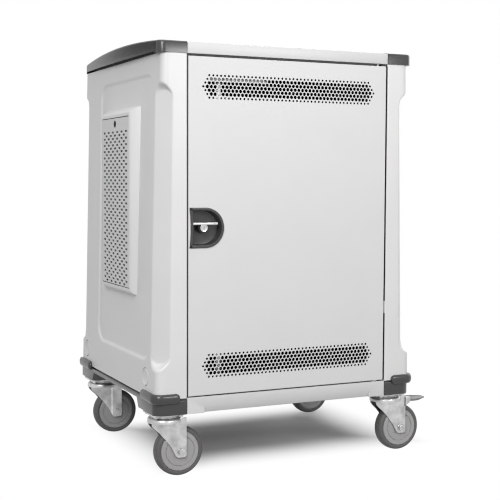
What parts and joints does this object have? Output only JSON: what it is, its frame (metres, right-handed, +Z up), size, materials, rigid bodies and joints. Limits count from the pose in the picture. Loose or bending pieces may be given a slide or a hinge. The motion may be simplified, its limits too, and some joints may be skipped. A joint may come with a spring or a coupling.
{
  "type": "laptop charging cart",
  "caption": "Lockable white cabinet on swivel castors that stores and charges laptops on racks behind a front door, with vented sides, a rear door and dark grey corner bumpers.",
  "frame": {"origin": "on the floor, under the middle of the cart's footprint, which includes the brake pedals", "axes": "+X to the right seen from the front, -Y towards the front door side, +Z up"},
  "size_m": [0.812, 0.638, 1.073],
  "materials": {
    "white_moulding": "fine satin moulded plastic",
    "white_paint": "white powder coat",
    "inner_paint": "pale grey powder coat",
    "trim_grey": "dark grey moulded plastic",
    "zinc": "bright zinc plate",
    "chrome": "polished",
    "tyre_grey": "dark grey rubber",
    "hub_grey": "mid grey moulded plastic",
    "pedal_grey": "grey moulded plastic",
    "lock_black": "black",
    "rack_black": "black moulded plastic"
  },
  "bodies": {
    "cabinet": {"left_base_sill": "trim_grey", "left_side_shell": "white_moulding", "left_top_cap": "trim_grey", "left_inner_wall": "inner_paint", "right_base_sill": "trim_grey", "right_side_shell": "white_moulding", "right_top_cap": "trim_grey", "right_inner_wall": "inner_paint", "base_pan": "inner_paint", "front_base_rail": "white_paint", "rear_base_rail": "white_paint", "mains_inlet": "rack_black", "top_panel": "white_paint", "partition": "inner_paint", "shelf": "inner_paint", "lower_divider_rack": "rack_black", "lower_power_strip": "rack_black", "upper_divider_rack": "rack_black", "upper_power_strip": "rack_black", "front_upper_hinge_pin": "zinc", "front_lower_hinge_pin": "zinc", "rear_upper_hinge_pin": "zinc", "rear_lower_hinge_pin": "zinc", "front_left_castor_plate": "zinc", "front_right_castor_plate": "zinc", "rear_left_castor_plate": "zinc", "rear_right_castor_plate": "zinc"},
    "front_door": {"front_door": "white_paint", "lock_cup": "trim_grey", "upper_rod_guide": "zinc", "lower_rod_guide": "zinc"},
    "turn_handle": {"turn_handle": "chrome", "lock_cam": "zinc"},
    "key_cylinder": {"key_cylinder": "chrome"},
    "upper_lock_rod": {"upper_lock_rod": "zinc"},
    "lower_lock_rod": {"lower_lock_rod": "zinc"},
    "rear_door": {"rear_door": "white_paint"},
    "rear_lock": {"rear_lock": "lock_black"},
    "left_vent_cover": {"left_vent_cover": "white_paint"},
    "right_vent_cover": {"right_vent_cover": "white_paint"},
    "left_cover_lock": {"left_cover_lock": "lock_black"},
    "right_cover_lock": {"right_cover_lock": "lock_black"},
    "front_left_castor": {"front_left_fork": "zinc", "front_left_axle": "zinc"},
    "front_left_wheel": {"front_left_hub": "hub_grey", "front_left_tyre": "tyre_grey"},
    "front_right_castor": {"front_right_fork": "zinc", "front_right_axle": "zinc"},
    "front_right_wheel": {"front_right_hub": "hub_grey", "front_right_tyre": "tyre_grey"},
    "front_right_brake": {"front_right_brake_pedal": "pedal_grey"},
    "rear_left_castor": {"rear_left_fork": "zinc", "rear_left_axle": "zinc"},
    "rear_left_wheel": {"rear_left_hub": "hub_grey", "rear_left_tyre": "tyre_grey"},
    "rear_right_castor": {"rear_right_fork": "zinc", "rear_right_axle": "zinc"},
    "rear_right_wheel": {"rear_right_hub": "hub_grey", "rear_right_tyre": "tyre_grey"},
    "rear_right_brake": {"rear_right_brake_pedal": "pedal_grey"}
  },
  "joints": [
    {"name": "front_door_hinge", "type": "hinge", "parent": "cabinet", "child": "front_door", "pos_m": [0.22, -0.299, 0.616], "axis": [0, 0, 1], "range_deg": [0, 120]},
    {"name": "handle_turn", "type": "hinge", "parent": "front_door", "child": "turn_handle", "pos_m": [-0.27, -0.299, 0.615], "axis": [0, -1, 0], "range_deg": [0, 90]},
    {"name": "key_turn", "type": "hinge", "parent": "turn_handle", "child": "key_cylinder", "pos_m": [-0.27, -0.304, 0.615], "axis": [0, -1, 0], "range_deg": [0, 90]},
    {"name": "upper_rod_slide", "type": "slide", "parent": "front_door", "child": "upper_lock_rod", "axis": [0, 0, 1], "range_m": [0, 0.018]},
    {"name": "lower_rod_slide", "type": "slide", "parent": "front_door", "child": "lower_lock_rod", "axis": [0, 0, -1], "range_m": [0, 0.018]},
    {"name": "rear_door_hinge", "type": "hinge", "parent": "cabinet", "child": "rear_door", "pos_m": [-0.288, 0.299, 0.616], "axis": [0, 0, 1], "range_deg": [0, 120]},
    {"name": "rear_lock_turn", "type": "hinge", "parent": "rear_door", "child": "rear_lock", "pos_m": [0.218, 0.299, 0.615], "axis": [0, -1, 0], "range_deg": [0, 90]},
    {"name": "left_cover_tilt", "type": "hinge", "parent": "cabinet", "child": "left_vent_cover", "pos_m": [-0.401, -0.02, 0.457], "axis": [0, -1, 0], "range_deg": [0, 30]},
    {"name": "right_cover_tilt", "type": "hinge", "parent": "cabinet", "child": "right_vent_cover", "pos_m": [0.333, -0.02, 0.457], "axis": [0, 1, 0], "range_deg": [0, 30]},
    {"name": "left_cover_lock_turn", "type": "hinge", "parent": "left_vent_cover", "child": "left_cover_lock", "pos_m": [-0.396, -0.02, 0.874], "axis": [1, 0, 0], "range_deg": [0, 90]},
    {"name": "right_cover_lock_turn", "type": "hinge", "parent": "right_vent_cover", "child": "right_cover_lock", "pos_m": [0.328, -0.02, 0.874], "axis": [1, 0, 0], "range_deg": [0, 90]},
    {"name": "front_left_swivel", "type": "hinge", "parent": "cabinet", "child": "front_left_castor", "pos_m": [-0.353, -0.253, 0.15], "axis": [0, 0, 1], "continuous": true},
    {"name": "front_left_wheel_spin", "type": "hinge", "parent": "front_left_castor", "child": "front_left_wheel", "pos_m": [-0.317, -0.253, 0.0625], "axis": [0, 1, 0], "continuous": true},
    {"name": "front_right_swivel", "type": "hinge", "parent": "cabinet", "child": "front_right_castor", "pos_m": [0.285, -0.253, 0.15], "axis": [0, 0, 1], "continuous": true},
    {"name": "front_right_wheel_spin", "type": "hinge", "parent": "front_right_castor", "child": "front_right_wheel", "pos_m": [0.321, -0.253, 0.0625], "axis": [0, 1, 0], "continuous": true},
    {"name": "front_right_brake_press", "type": "hinge", "parent": "front_right_castor", "child": "front_right_brake", "pos_m": [0.341, -0.253, 0.1354], "axis": [0, 1, 0], "range_deg": [0, 14]},
    {"name": "rear_left_swivel", "type": "hinge", "parent": "cabinet", "child": "rear_left_castor", "pos_m": [-0.353, 0.253, 0.15], "axis": [0, 0, 1], "continuous": true},
    {"name": "rear_left_wheel_spin", "type": "hinge", "parent": "rear_left_castor", "child": "rear_left_wheel", "pos_m": [-0.317, 0.253, 0.0625], "axis": [0, 1, 0], "continuous": true},
    {"name": "rear_right_swivel", "type": "hinge", "parent": "cabinet", "child": "rear_right_castor", "pos_m": [0.285, 0.253, 0.15], "axis": [0, 0, 1], "continuous": true},
    {"name": "rear_right_wheel_spin", "type": "hinge", "parent": "rear_right_castor", "child": "rear_right_wheel", "pos_m": [0.321, 0.253, 0.0625], "axis": [0, 1, 0], "continuous": true},
    {"name": "rear_right_brake_press", "type": "hinge", "parent": "rear_right_castor", "child": "rear_right_brake", "pos_m": [0.341, 0.253, 0.1354], "axis": [0, 1, 0], "range_deg": [0, 14]}
  ],
  "couplings": [
    {"joint": "upper_rod_slide", "follows": "handle_turn", "m_per_rad": 0.01145},
    {"joint": "lower_rod_slide", "follows": "handle_turn", "m_per_rad": 0.01145}
  ]
}
